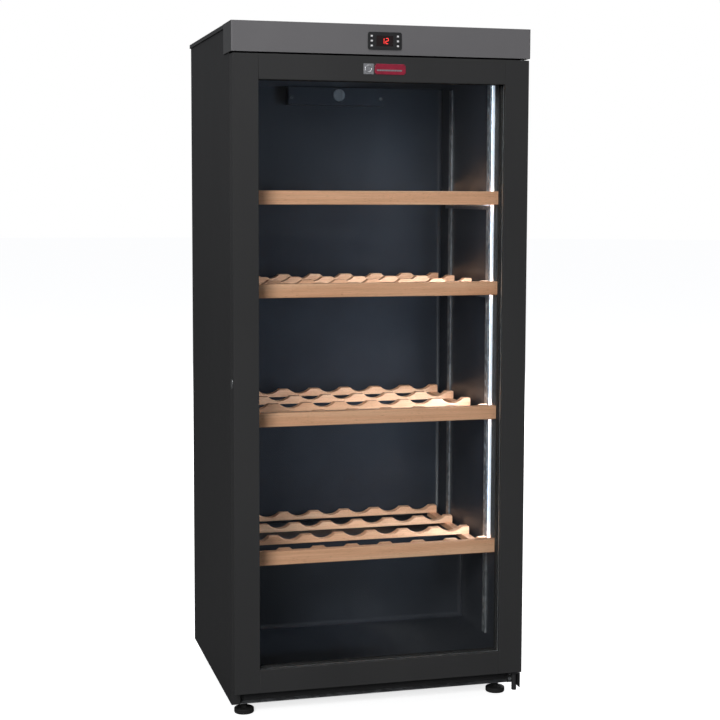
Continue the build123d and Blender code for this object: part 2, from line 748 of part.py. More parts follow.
def air_duct_cover():
    """Shallow cover high on the back wall with the round filter hole and a slotted lower edge."""
    y0 = INNER_BACK - DUCT_DEPTH
    z1 = CEILING - DUCT_DROP
    z0 = z1 - DUCT_H
    w = DUCT_WALL
    shape = block(DUCT_X0, DUCT_X1, y0, INNER_BACK, z0, z1)
    shape -= block(DUCT_X0 + w, DUCT_X1 - w, y0 + w, INNER_BACK + 1, z0 + w, z1 - w)
    for i in range(DUCT_SLOTS):
        x = DUCT_X0 + 20 + i * DUCT_SLOT_PITCH
        shape -= block(x, x + DUCT_SLOT_W, y0 + 6, INNER_BACK - 6, z0 - 1, z0 + w + 1)
    shape -= rod_y(VENT_X, VENT_Z, y0 - 1, y0 + w + 1, FILTER_R + LOOSE)
    for side in (-1, 1):
        shape -= Pos(VENT_X, y0 + w / 2, VENT_Z + side * FILTER_R) * Box(6, w + 2, 6)
    return cut_screws(shape)


def charcoal_filter():
    """Bayonet cap with a slotted face; two lugs hold it behind the cover."""
    y0 = INNER_BACK - DUCT_DEPTH
    shape = rod_y(VENT_X, VENT_Z, y0 - 2, y0 + DUCT_WALL + 3.3, FILTER_R)
    lug = y0 + DUCT_WALL + LOOSE
    for side in (-1, 1):
        x0, x1 = sorted((VENT_X + side * (FILTER_R - 1), VENT_X + side * (FILTER_R + FILTER_LUG)))
        shape += block(x0, x1, lug, lug + 2, VENT_Z - 2.5, VENT_Z + 2.5)
    for i in range(-2, 3):
        z = VENT_Z + i * FILTER_SLOT_PITCH
        shape -= block(VENT_X - 9, VENT_X + 9, y0 - 3, y0 + 1, z - 1, z + 1)
    return shape


def fan_back():
    return INNER_BACK - 4


def fan_motor():
    """Square fan frame with its hub and the fixed pin that the rotor turns on."""
    y1 = fan_back()
    y0 = y1 - FAN_T
    h = FAN_HALF
    shape = block(VENT_X - h, VENT_X + h, y0, y1, VENT_Z - h, VENT_Z + h)
    shape -= rod_y(VENT_X, VENT_Z, y0 - 1, y1 + 1, ROTOR_R + 0.8)
    shape += rod_y(VENT_X, VENT_Z, y1 - 3, y1, 6)
    shape += block(VENT_X - h, VENT_X + h, y1 - 2, y1, VENT_Z - 1.5, VENT_Z + 1.5)
    shape += rod_y(VENT_X, VENT_Z, y0 + 2, y1, FAN_PIN_R)
    for side in (-1, 1):
        x = VENT_X + side * (h - 1)
        shape += block(x - 1, x + 1, y1, INNER_BACK, VENT_Z - 8, VENT_Z + 8)
    return shape


def fan_rotor():
    """Hub and pitched blades that turn on the pin of the fan motor."""
    y0 = fan_back() - FAN_T + 1.5
    y1 = fan_back() - 3.5
    middle = (y0 + y1) / 2
    shape = rod_y(VENT_X, VENT_Z, y0, y1, 5.5)
    blade = Pos(8.5, 0, 0) * Rot(BLADE_ANGLE, 0, 0) * Box(9, 1.2, 7)
    for i in range(FAN_BLADES):
        shape += Pos(VENT_X, middle, VENT_Z) * Rot(0, 360 / FAN_BLADES * i, 0) * blade
    return shape - rod_y(VENT_X, VENT_Z, y0 - 1, y1 + 1, FAN_PIN_R + PIN_CLEAR)


# ---------------------------------------------------------------- cooling

def compressor_shell():
    shell = rod_z(COMP_X, COMP_Y, COMP_BASE + FOOT_PLATE, COMP_BASE + FOOT_PLATE + COMP_H, COMP_R)
    return fillet(shell.edges().filter_by(GeomType.CIRCLE), COMP_BEND)


def compressor():
    """Sealed shell on its foot plate, with the terminal box on its side."""
    shell = compressor_shell()
    z0 = COMP_BASE
    plate = block(COMP_X - COMP_PLATE_X, COMP_X + COMP_PLATE_X, COMP_Y - COMP_PLATE_Y, COMP_Y + COMP_PLATE_Y,
                  z0, z0 + FOOT_PLATE)
    for x, y in comp_corners():
        plate -= rod_z(x, y, z0 - 1, z0 + FOOT_PLATE + 1, 3)
    neck = rod_z(COMP_X, COMP_Y, z0 + FOOT_PLATE, z0 + FOOT_PLATE + COMP_BEND, COMP_R - COMP_BEND + 5)
    box = block(COMP_X + COMP_R - 15, COMP_X + COMP_R + 28, COMP_Y - 32, COMP_Y + 32, z0 + 45, z0 + 120)
    return [shell + neck + plate, box - shell]


def compressor_grommets():
    z0 = BASE_Z + BASE_T
    return [rod_z(x, y, z0, COMP_BASE, 10) - rod_z(x, y, z0 - 1, COMP_BASE + 1, 3)
            for x, y in comp_corners()]


def compressor_bolts():
    z1 = COMP_BASE + FOOT_PLATE
    return [rod_z(x, y, BASE_Z + BASE_T - 2, z1, 3) + rod_z(x, y, z1, z1 + 4, 5.5)
            for x, y in comp_corners()]


def coil_top():
    return COIL_BOTTOM + (COIL_ROWS - 1) * COIL_PITCH


def condenser_coil():
    """Serpentine tube brazed to four strips that stand off the rear panel."""
    points = [(-COIL_HALF, COIL_Y, COIL_BOTTOM)]
    for row in range(COIL_ROWS):
        z = COIL_BOTTOM + row * COIL_PITCH
        near, far = (-COIL_HALF, COIL_HALF) if row % 2 == 0 else (COIL_HALF, -COIL_HALF)
        if row:
            points.append((near, COIL_Y, z))
        points.append((far, COIL_Y, z))
    shape = tube(points, TUBE_R, COIL_PITCH * 0.45)
    for x in (-COIL_HALF + 50, -90, 90, COIL_HALF - 50):
        y1 = BACK + REAR_ZONE
        shape += block(x - 8, x + 8, y1 - STRIP_T - 0.5, y1, COIL_BOTTOM - 15, coil_top() + 15)
        for z in (COIL_BOTTOM + COIL_PITCH / 2, coil_top() - COIL_PITCH / 2):
            shape += block(x - 8, x + 8, BACK, y1 - STRIP_T, z - 10, z + 10)
    return shape


def refrigerant_pipes():
    """Suction pipe, discharge pipe and the filter drier in the liquid line."""
    top = COMP_BASE + FOOT_PLATE + COMP_H
    sx = suction_x()
    sy = suction_y()
    suction = tube([(sx, sy, STEP_TOP + 80), (sx, sy, top - 60), (COMP_X, sy - 20, top - 60),
                    (COMP_X, COMP_Y, top - 60)], SUCTION_R, 8)
    x = -COIL_HALF
    discharge = tube([(x, COIL_Y, COIL_BOTTOM), (x - 20, COIL_Y, COIL_BOTTOM), (x - 20, COIL_Y, top - 30),
                      (x - 20, COMP_Y, top - 30), (COMP_X, COMP_Y, top - 30)], TUBE_R, 10)
    y = BACK - 40
    drier = rod_z(DRIER_X, y, 120, 210, DRIER_R)
    drier += rod_z(DRIER_X, y, 90, 120, 2) + rod_z(DRIER_X, y, 210, BAY_Z - SHEET, 2)
    shell = compressor_shell()
    return [suction - shell, discharge - shell, drier]


def drain_pan():
    """Evaporation tray that sits on top of the compressor."""
    z0 = COMP_BASE + FOOT_PLATE + COMP_H
    w = PAN_WALL
    shape = block(COMP_X - PAN_X, COMP_X + PAN_X, COMP_Y - PAN_Y, COMP_Y + PAN_Y, z0, z0 + PAN_H)
    return shape - block(COMP_X - PAN_X + w, COMP_X + PAN_X - w, COMP_Y - PAN_Y + w, COMP_Y + PAN_Y - w,
                         z0 + w, z0 + PAN_H + 1)


def power_inlet():
    """Appliance inlet with its recess and three pins, on the floor of the compressor bay."""
    x = INLET_X
    z = BASE_Z + BASE_T + INLET_LIFT
    y1 = BACK - 4
    shape = block(x - 24, x + 24, y1 - 30, y1, BASE_Z + BASE_T, z + 16)
    shape -= block(x - MOUTH_X, x + MOUTH_X, y1 - MOUTH_DEPTH, y1 + 1, z - MOUTH_Z, z + MOUTH_Z)
    for dx, dz in ((-7, -2), (7, -2), (0, 2)):
        shape += block(x + dx - 1, x + dx + 1, y1 - MOUTH_DEPTH, y1 - 8, z + dz - 2, z + dz + 2)
    return shape


# ------------------------------------------------------------------- feet

def levelling_foot(x, y):
    """Threaded foot; its collar meets the base plate when it is screwed right in."""
    shape = fillet(rod_z(x, y, 0, FOOT_PAD, FOOT_R).edges().filter_by(GeomType.CIRCLE), 2.5)
    shape += rod_z(x, y, FOOT_PAD, BASE_Z, 8)
    return shape + rod_z(x, y, BASE_Z, STUD_TOP, STUD_R)


def rear_feet():
    y = BACK - REAR_FOOT_Y
    return [rod_z(side * FOOT_X, y, 0, FOOT_PAD, 20) + rod_z(side * FOOT_X, y, FOOT_PAD, BASE_Z, 11)
            for side in (-1, 1)]


# ------------------------------------------------------------------ output

os.makedirs("parts", exist_ok=True)

save("side_panel_left", side_panel(-1))
save("side_panel_right", side_panel(1))
save("roof_panel", roof_panel())
save("rear_panel", rear_panel())
save("compressor_bay_panel", compressor_bay_panel())
save("front_plinth", front_plinth())
save("base_plate", base_plate())
save("inner_liner", inner_liner())
save("evaporator_plate", evaporator_plate())
save("insulation_foam", insulation_foam())
save("top_cover", top_cover())
save("control_fascia", control_fascia())

save("controller_case", controller_case())
save("display_window", display_window())
save("control_board", control_board())
for key_name, key_x, key_z in key_places():
    save(key_name, button(key_x, key_z))

save("door_stile_left", door_stile(-1))
save("door_stile_right", door_stile(1))
save("door_rail_top", door_rail_top())
save("door_rail_bottom", door_rail_bottom())
save("door_glass_panes", pane(GLASS_Y), pane(GLASS_Y + PANE_T + PANE_GAP))
save("glass_spacer", glass_spacer())
save("door_gasket", door_gasket())
save("lock_barrel", lock_barrel())
save("lock_plug", lock_plug())
save("door_badge", door_badge())
save("hinge_bushes", *hinge_bushes())
save("hinge_bracket_lower", hinge_bracket_lower())
save("hinge_bracket_upper", hinge_bracket_upper())

for number, shelf_top in enumerate(SHELF_TOPS, start=1):
    save(f"shelf_{number}_board", shelf_board(shelf_top))
    save(f"shelf_{number}_frame", *shelf_frame(shelf_top))
save("shelf_uprights", *shelf_uprights())
save("shelf_runners", *shelf_runners())
save("light_housing", light_housing())
save("light_diffuser", light_diffuser())

save("air_duct_cover", air_duct_cover())
save("charcoal_filter", charcoal_filter())
save("fan_motor", fan_motor())
save("fan_rotor", fan_rotor())

save("compressor", *compressor())
save("compressor_grommets", *compressor_grommets())
save("condenser_coil", condenser_coil())
save("refrigerant_pipes", *refrigerant_pipes())
save("drain_pan", drain_pan())
save("power_inlet", power_inlet())
save("screws", *SCREWS, *compressor_bolts())

for (foot_x, foot_y), foot_side in zip(foot_places(), ("left", "right")):
    save(f"levelling_foot_{foot_side}", levelling_foot(foot_x, foot_y))
save("rear_feet", *rear_feet())
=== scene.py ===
import bmesh
import bpy
import json
import math
from mathutils import Matrix, Vector


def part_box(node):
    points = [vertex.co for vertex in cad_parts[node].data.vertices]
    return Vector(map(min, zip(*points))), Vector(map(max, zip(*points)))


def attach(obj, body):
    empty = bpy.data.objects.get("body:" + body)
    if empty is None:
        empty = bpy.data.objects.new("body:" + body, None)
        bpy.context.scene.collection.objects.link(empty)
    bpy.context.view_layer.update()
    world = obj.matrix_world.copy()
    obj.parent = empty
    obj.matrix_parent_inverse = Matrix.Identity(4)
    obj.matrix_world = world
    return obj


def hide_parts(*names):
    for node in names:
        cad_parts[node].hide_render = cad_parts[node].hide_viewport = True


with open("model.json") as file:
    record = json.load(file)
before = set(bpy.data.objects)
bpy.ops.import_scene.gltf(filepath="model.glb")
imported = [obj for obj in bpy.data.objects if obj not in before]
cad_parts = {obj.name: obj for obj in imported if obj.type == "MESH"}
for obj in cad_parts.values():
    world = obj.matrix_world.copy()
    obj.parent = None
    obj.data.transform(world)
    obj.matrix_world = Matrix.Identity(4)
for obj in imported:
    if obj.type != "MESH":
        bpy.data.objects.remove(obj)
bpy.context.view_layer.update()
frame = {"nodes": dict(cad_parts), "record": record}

MM = 0.001
SLOT_OF = {part["node"]: part["material_slot"] for part in frame["record"]["subparts"]}
BODY_OF = {node: body for body, nodes in frame["record"]["behaviour"]["bodies"].items() for node in nodes}


# -------------------------------------------------------------- shader helpers

def add(tree, kind, inputs=None, **settings):
    """Add a node, set its properties, and set or link its inputs."""
    made = tree.nodes.new(kind)
    for key, value in settings.items():
        setattr(made, key, value)
    for key, value in (inputs or {}).items():
        if isinstance(value, bpy.types.NodeSocket):
            tree.links.new(value, made.inputs[key])
        else:
            made.inputs[key].default_value = value
    return made


def new_material(name, **shader):
    """A material with a Principled shader whose uniform values are set on its own sockets."""
    material = bpy.data.materials.new(name)
    material.use_nodes = True
    principled = material.node_tree.nodes["Principled BSDF"]
    for key, value in shader.items():
        principled.inputs[key.replace("_", " ")].default_value = value
    return material, material.node_tree, principled


def place(tree, scale):
    """Object coordinates, in metres in the row frame, stretched by scale."""
    coordinates = add(tree, "ShaderNodeTexCoord").outputs["Object"]
    return add(tree, "ShaderNodeMapping", {"Vector": coordinates, "Scale": scale}).outputs["Vector"]


def noise(tree, scale, detail=3.0, roughness=0.5, distortion=0.0):
    """Noise over object coordinates; scale is how many times it repeats per metre along each axis."""
    inputs = {"Vector": place(tree, scale), "Scale": 1.0, "Detail": detail,
              "Roughness": roughness, "Distortion": distortion}
    return add(tree, "ShaderNodeTexNoise", inputs).outputs["Fac"]


def ramp(tree, value, stops):
    """Colours along a value; stops are (position, colour)."""
    made = add(tree, "ShaderNodeValToRGB", {"Fac": value})
    elements = made.color_ramp.elements
    for element, (position, colour) in zip(elements, stops):
        element.position = position
        element.color = (*colour, 1.0)
    for position, colour in stops[len(elements):]:
        elements.new(position).color = (*colour, 1.0)
    return made.outputs["Color"]


def spread(tree, value, low, high, start=0.3, end=0.7):
    """A value carried over to the range low to high."""
    inputs = {"Value": value, "From Min": start, "From Max": end, "To Min": low, "To Max": high}
    return add(tree, "ShaderNodeMapRange", inputs).outputs["Result"]


def join(tree, principled, **sockets):
    """Link values to the shader's sockets, named with _ for each space."""
    for key, value in sockets.items():
        tree.links.new(value, principled.inputs[key.replace("_", " ")])


def bump(tree, height, distance, normal=None):
    """Relief of a height value, distance metres deep, over another normal if one is given."""
    inputs = {"Height": height, "Distance": distance, "Strength": 1.0}
    if normal is not None:
        inputs["Normal"] = normal
    return add(tree, "ShaderNodeBump", inputs).outputs["Normal"]


def blend(tree, amount, first, second, mode="MIX"):
    """Mix two colours by an amount, which may be a number or a socket."""
    return add(tree, "ShaderNodeMix", {0: amount, 6: first, 7: second}, data_type="RGBA",
               blend_type=mode).outputs[2]


def finish_of(name, dark, light, mottle, rough, grain, relief, **shader):
    """A surface that drifts between two colours, with fine grain in its relief and gloss.

    mottle and grain are scales per metre along X, Y and Z, rough a pair of roughnesses."""
    material, tree, principled = new_material(name, **shader)
    drift = noise(tree, mottle, 4.0, 0.55)
    fine = noise(tree, grain, 2.0)
    join(tree, principled,
         Base_Color=ramp(tree, drift, [(0.32, dark), (0.68, light)]),
         Roughness=spread(tree, fine, *rough),
         Normal=bump(tree, fine, relief))
    return material


def even(scale):
    """The same scale along all three axes."""
    return (scale, scale, scale)


# ------------------------------------------------------------------- materials

def powder_coat(name, dark, light, rough):
    """Charcoal powder coat: fine orange peel over a slow drift, with rare pale dust specks."""
    material, tree, principled = new_material(name, Specular_IOR_Level=0.14, IOR=1.45)
    drift = noise(tree, (3.0, 3.0, 1.2), 5.0, 0.6)
    peel = noise(tree, even(900), 2.0, 0.4)
    specks = noise(tree, even(2600), 1.0)
    base = ramp(tree, drift, [(0.3, dark), (0.7, light)])
    dust = spread(tree, specks, 0.0, 0.35, 0.66, 0.8)
    speck = tuple(min(1, 3.2 * c) for c in light) + (1.0,)
    mixed = blend(tree, dust, base, speck)
    join(tree, principled, Base_Color=mixed, Roughness=spread(tree, drift, *rough),
         Normal=bump(tree, peel, 0.00012))
    return material


def two_tone(name, front_y):
    """Grey satin skin on the front of the fascia, over its charcoal moulding."""
    skin_depth = 1.6 * MM
    material, tree, principled = new_material(name, Specular_IOR_Level=0.3)
    drift = noise(tree, even(4), 4.0, 0.55)
    grain = noise(tree, (260, 900, 1500), 2.0)
    depth = add(tree, "ShaderNodeSeparateXYZ", {"Vector": place(tree, even(1))}).outputs["Y"]
    behind = add(tree, "ShaderNodeMath", {0: depth, 1: front_y + skin_depth},
                 operation="GREATER_THAN").outputs["Value"]
    skin = ramp(tree, drift, [(0.32, (0.122, 0.119, 0.124)), (0.68, (0.138, 0.134, 0.139))])
    moulding = ramp(tree, drift, [(0.32, (0.046, 0.046, 0.047)), (0.68, (0.054, 0.054, 0.055))])
    colour = blend(tree, behind, skin, moulding)
    join(tree, principled, Base_Color=colour, Roughness=spread(tree, grain, 0.44, 0.58),
         Normal=bump(tree, grain, 0.00006))
    return material


def beech(name, along):
    """Oiled beech: growth bands and short dark pores, drawn out along the grain on axis along."""
    material, tree, principled = new_material(name, Specular_IOR_Level=0.35, IOR=1.45)

    def stretched(across, along_grain):
        scale = [across] * 3
        scale[along] = along_grain
        return tuple(scale)

    bands = noise(tree, stretched(42, 1.6), 5.0, 0.6, 0.8)
    fibres = noise(tree, stretched(520, 9), 3.0, 0.6)
    pores = noise(tree, stretched(1500, 110), 1.0)
    wood = ramp(tree, bands, [(0.25, (0.80, 0.40, 0.225)), (0.5, (0.91, 0.50, 0.30)),
                              (0.78, (0.95, 0.60, 0.38))])
    streaks = ramp(tree, fibres, [(0.3, (0.8, 0.76, 0.72)), (0.62, (1.0, 1.0, 1.0))])
    streaked = blend(tree, 0.7, wood, streaks, "MULTIPLY")
    dots = ramp(tree, pores, [(0.27, (0.45, 0.36, 0.3)), (0.34, (1.0, 1.0, 1.0))])
    final = blend(tree, 0.8, streaked, dots, "MULTIPLY")
    join(tree, principled, Base_Color=final, Roughness=spread(tree, fibres, 0.42, 0.6),
         Normal=bump(tree, pores, 0.00008, normal=bump(tree, fibres, 0.00012)))
    return material


def galvanised(name):
    """Hot-dip zinc: crystal spangle that changes tone and gloss from grain to grain."""
    material, tree, principled = new_material(name, Metallic=0.85)
    wobble = noise(tree, even(60), 2.0)
    cells = add(tree, "ShaderNodeTexVoronoi", {"Vector": place(tree, even(95)), "Scale": 1.0})
    tone = add(tree, "ShaderNodeSeparateColor", {"Color": cells.outputs["Color"]}).outputs["Red"]
    streak = noise(tree, (9, 9, 420), 3.0)
    base = ramp(tree, tone, [(0.0, (0.33, 0.345, 0.36)), (1.0, (0.55, 0.565, 0.58))])
    shade = ramp(tree, wobble, [(0.3, (0.86, 0.86, 0.88)), (0.7, (1.0, 1.0, 1.0))])
    mixed = blend(tree, 1.0, base, shade, "MULTIPLY")
    join(tree, principled, Base_Color=mixed, Roughness=spread(tree, tone, 0.34, 0.56, 0.0, 1.0),
         Normal=bump(tree, streak, 0.00005))
    return material


def clear_glass(name):
    """Float glass: mostly let through, with a mirror skin that grows at grazing angles."""
    material, tree, principled = new_material(name, Metallic=1.0, IOR=1.5)
    output = tree.nodes["Material Output"]
    smudge = noise(tree, (5.0, 5.0, 2.5), 4.0, 0.6)
    join(tree, principled,
         Base_Color=ramp(tree, smudge, [(0.3, (0.86, 0.9, 0.9)), (0.7, (0.93, 0.96, 0.96))]),
         Roughness=spread(tree, smudge, 0.015, 0.05))
    skin = add(tree, "ShaderNodeFresnel", {"IOR": 1.13})
    through = add(tree, "ShaderNodeBsdfTransparent", {"Color": (0.982, 0.987, 0.986, 1.0)})
    mixed = add(tree, "ShaderNodeMixShader",
                {0: skin.outputs["Fac"], 1: through.outputs["BSDF"], 2: principled.outputs["BSDF"]})
    tree.links.new(mixed.outputs["Shader"], output.inputs["Surface"])
    return material


def glowing(name, body, dark, light, power, step):
    """A lit surface whose glow rises and falls slightly from lamp to lamp, step metres apart."""
    material, tree, principled = new_material(name, Emission_Strength=power, Roughness=0.4)
    height = add(tree, "ShaderNodeSeparateXYZ", {"Vector": place(tree, even(1 / step))}).outputs["Z"]
    wave = add(tree, "ShaderNodeMath", {0: height, 1: 0.5}, operation="PINGPONG").outputs["Value"]
    grain = noise(tree, even(400), 2.0)
    join(tree, principled,
         Base_Color=ramp(tree, grain, [(0.3, body), (0.7, tuple(min(1.0, 1.08 * c) for c in body))]),
         Emission_Color=ramp(tree, wave, [(0.1, dark), (0.5, light)]),
         Normal=bump(tree, grain, 0.00005))
    return material


def circuit_board(name):
    """Green solder resist with paler tracks and small dark parts."""
    material, tree, principled = new_material(name, Specular_IOR_Level=0.5)
    cells = add(tree, "ShaderNodeTexVoronoi", {"Vector": place(tree, even(260)), "Scale": 1.0},
                distance="CHEBYCHEV").outputs["Distance"]
    tracks = ramp(tree, cells, [(0.12, (0.015, 0.015, 0.018)), (0.3, (0.03, 0.16, 0.06)),
                                (0.6, (0.1, 0.3, 0.12))])
    join(tree, principled, Base_Color=tracks, Roughness=spread(tree, cells, 0.3, 0.5),
         Normal=bump(tree, cells, 0.0003))
    return material


def compressor_paint(name):
    """Thick dipped black enamel with runs, and a dull bloom of dust."""
    material, tree, principled = new_material(name, Specular_IOR_Level=0.5, Coat_Weight=0.3,
                                              Coat_Roughness=0.25)
    runs = noise(tree, (60, 60, 9), 3.0)
    dust = noise(tree, even(30), 6.0, 0.7)
    join(tree, principled,
         Base_Color=ramp(tree, dust, [(0.35, (0.011, 0.011, 0.012)), (0.75, (0.035, 0.034, 0.033))]),
         Roughness=spread(tree, dust, 0.28, 0.6), Normal=bump(tree, runs, 0.0004))
    return material


MATERIALS = {
    "cabinet_steel": powder_coat("cabinet_powder_coat", (0.028, 0.028, 0.0287), (0.0325, 0.0325, 0.0332),
                                 (0.56, 0.66)),
    "door_paint": powder_coat("door_powder_coat", (0.0305, 0.0305, 0.0310), (0.035, 0.035, 0.0355),
                              (0.5, 0.6)),
    "fascia_grey": two_tone("fascia_plastic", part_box("control_fascia")[0].y),
    "cover_charcoal": finish_of("cover_plastic", (0.030, 0.030, 0.0307), (0.036, 0.036, 0.0367),
                                (3.0, 3.0, 1.2), (0.46, 0.58), even(1100), 0.00008, Specular_IOR_Level=0.2),
    "liner": finish_of("liner_plastic", (0.022, 0.0245, 0.031), (0.031, 0.034, 0.042), even(6),
                       (0.26, 0.38), even(700), 0.00005, Specular_IOR_Level=0.4),
    "foam": finish_of("cabinet_foam", (0.62, 0.52, 0.3), (0.78, 0.69, 0.45), even(40), (0.85, 0.98),
                      even(700), 0.0008),
    "zinc_steel": galvanised("galvanised_steel"),
    "black_plastic": finish_of("black_plastic", (0.011, 0.011, 0.012), (0.019, 0.019, 0.02), even(25),
                               (0.34, 0.5), even(1600), 0.00006, Specular_IOR_Level=0.4),
    "clear_window": finish_of("display_smoke", (0.006, 0.003, 0.003), (0.014, 0.005, 0.005), even(30),
                              (0.08, 0.16), even(900), 0.00002, Specular_IOR_Level=0.5),
    "key_white": finish_of("key_plastic", (0.62, 0.62, 0.63), (0.72, 0.72, 0.73), even(120),
                           (0.4, 0.55), even(2200), 0.00005),
    "circuit_board": circuit_board("circuit_board"),
    "glass": clear_glass("door_glass"),
    "aluminium": finish_of("mill_aluminium", (0.62, 0.63, 0.65), (0.76, 0.77, 0.78), (30, 30, 4),
                           (0.26, 0.42), (900, 900, 30), 0.00006, Metallic=1.0),
    "black_rubber": finish_of("black_rubber", (0.012, 0.012, 0.012), (0.021, 0.0205, 0.02), even(50),
                              (0.62, 0.82), even(1800), 0.00012, Specular_IOR_Level=0.3),
    "opal": glowing("opal_diffuser", (0.7, 0.76, 0.82), (0.62, 0.72, 0.9), (0.86, 0.94, 1.0), 0.5,
                    25 * MM),
    "beech": beech("beech_across", 0),
    "black_coat": compressor_paint("black_enamel"),
    "copper": finish_of("drawn_copper", (0.52, 0.21, 0.12), (0.78, 0.4, 0.25), even(45), (0.22, 0.42),
                        even(500), 0.00005, Metallic=1.0),
    "chrome": finish_of("turned_chrome", (0.55, 0.56, 0.57), (0.68, 0.69, 0.7), even(80), (0.12, 0.24),
                        (60, 2400, 2400), 0.00004, Metallic=1.0),
    "badge": finish_of("crimson_enamel", (0.21, 0.004, 0.022), (0.30, 0.008, 0.034), even(60),
                       (0.18, 0.3), even(900), 0.00003, Coat_Weight=0.5, Coat_Roughness=0.12),
}
BEECH_DEEP = beech("beech_lengthwise", 1)
DIGIT_GLOW = glowing("digit_glow", (0.4, 0.02, 0.02), (1.0, 0.03, 0.03), (1.0, 0.07, 0.05), 2.4,
                     3 * MM)
FILTER_GREY = finish_of("filter_plastic", (0.13, 0.14, 0.15), (0.2, 0.21, 0.22), even(90),
                        (0.25, 0.4), even(1500), 0.00006, Specular_IOR_Level=0.5)
SILVER = finish_of("satin_silver", (0.5, 0.5, 0.52), (0.66, 0.66, 0.68), even(150), (0.24, 0.36),
                   (2600, 200, 200), 0.00004, Metallic=1.0)

for node_name, node_object in frame["nodes"].items():
    node_object.data.materials.clear()
    node_object.data.materials.append(MATERIALS[SLOT_OF[node_name]])


# ---------------------------------------------------------------- mesh helpers

def piece(name, mesh, node, material=None, hides=True):
    """Put a mesh in the scene as a piece that rides with a node's body and takes its slot."""
    obj = bpy.data.objects.new(name, mesh)
    bpy.context.scene.collection.objects.link(obj)
    mesh.materials.clear()
    mesh.materials.append(material or MATERIALS[SLOT_OF[node]])
    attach(obj, BODY_OF[node])
    if hides:
        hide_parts(node)
    return obj


def to_mesh(name, bm, smooth_below=35.0):
    """Turn a bmesh into a mesh, smooth except across edges sharper than an angle in degrees."""
    bmesh.ops.recalc_face_normals(bm, faces=bm.faces)
    limit = math.radians(smooth_below)
    for face in bm.faces:
        face.smooth = True
    for edge in bm.edges:
        edge.smooth = edge.is_manifold and edge.calc_face_angle(0.0) < limit
    mesh = bpy.data.meshes.new(name)
    bm.to_mesh(mesh)
    bm.free()
    return mesh


def node_bmesh(node):
    """A clean editable copy of a CAD node's mesh."""
    bm = bmesh.new()
    bm.from_mesh(frame["nodes"][node].data)
    bmesh.ops.remove_doubles(bm, verts=bm.verts, dist=1e-6)
    bmesh.ops.dissolve_limit(bm, angle_limit=math.radians(0.5), verts=bm.verts, edges=bm.edges)
    return bm


def around(count):
    """Angles that share out a full turn."""
    return [2 * math.pi * i / count for i in range(count)]


def bridge(bm, loops, closed=False):
    """Join each loop of vertices to the next with quads, and the last to the first if closed."""
    ends = loops[:1] if closed else []
    for near, far in zip(loops, loops[1:] + ends):
        for i in range(len(near)):
            j = (i + 1) % len(near)
            bm.faces.new((near[i], near[j], far[j], far[i]))


def islands(bm):
    """The separate shells of a bmesh, as lists of faces."""
    left = set(bm.faces)
    found = []
    while left:
        grown = [left.pop()]
        for face in grown:
            for edge in face.edges:
                for other in edge.link_faces:
                    if other in left:
                        left.discard(other)
                        grown.append(other)
        found.append(grown)
    return found


def marked(bm, name, shortest=6 * MM, widths=None):
    """A mesh whose long outer edges are marked for rounding; widths gives an edge's share of it."""
    layer = bm.edges.layers.float.new("bevel_weight_edge")
    sharp = math.radians(30)
    for edge in bm.edges:
        folded = edge.is_manifold and edge.calc_face_angle(0.0) > sharp
        share = widths(edge) if widths and folded else 1.0
        if folded and share and edge.calc_length() > shortest and (widths or edge.is_convex):
            edge[layer] = share
    mesh = to_mesh(name, bm)
    for edge, weight in zip(mesh.edges, mesh.attributes["bevel_weight_edge"].data):
        if weight.value > 0:
            edge.use_edge_sharp = False
    return mesh


def round_edges(obj, width, segments=2):
    """Bevel the marked edges and keep flat faces flat in the shading."""
    bevel = obj.modifiers.new("rounding", "BEVEL")
    bevel.limit_method = "WEIGHT"
    bevel.width = width
    bevel.segments = segments
    bevel.use_clamp_overlap = True
    bevel.harden_normals = False
    normals = obj.modifiers.new("normals", "WEIGHTED_NORMAL")
    normals.keep_sharp = True
    return obj


def refined(node, width, segments=2, shortest=6 * MM, widths=None, material=None):
    """A CAD node's shape with its long edges rounded, shown in its place."""
    mesh = marked(node_bmesh(node), f"{node}_shape", shortest, widths)
    return round_edges(piece(f"{node}_visual", mesh, node, material), width, segments)


def ring(name, node, width, section):
    """A rectangular frame of one section round a node's box.

    section holds (inset, depth) points as shares of the frame's width and the box's depth."""
    lo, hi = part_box(node)
    bm = bmesh.new()
    loops = []
    for inset, depth in section:
        y = lo.y + (hi.y - lo.y) * depth
        left, right = lo.x + width * inset, hi.x - width * inset
        low, high = lo.z + width * inset, hi.z - width * inset
        corners = ((left, low), (right, low), (right, high), (left, high))
        loops.append([bm.verts.new((x, y, z)) for x, z in corners])
    bridge(bm, loops, closed=True)
    return to_mesh(name, bm, 50.0)


def turned(bm, centre, profile, segments, radius_at=None):
    """Revolve (radius, height) points about an upright axis, with closed ends.

    radius_at(radius, height, turn) may shape each ring further."""
    rings = []
    for radius, height in profile:
        row = []
        for turn in around(segments):
            r = radius_at(radius, height, turn) if radius_at else radius
            point = Vector((r * math.cos(turn), r * math.sin(turn), height))
            row.append(bm.verts.new(Vector(centre) + point))
        rings.append(row)
    bridge(bm, rings)
    bm.faces.new(rings[0][::-1])
    bm.faces.new(rings[-1])


def bar(bm, lo, hi):
    """A box between two corners, to be rounded later."""
    x, y, z = zip(lo, hi)
    corners = [bm.verts.new((x[i], y[j], z[k])) for i in (0, 1) for j in (0, 1) for k in (0, 1)]
    for a, b, c, d in ((0, 1, 3, 2), (4, 6, 7, 5), (0, 4, 5, 1), (2, 3, 7, 6), (0, 2, 6, 4), (1, 5, 7, 3)):
        bm.faces.new((corners[a], corners[b], corners[c], corners[d]))


# --------------------------------------------------------------------- cabinet

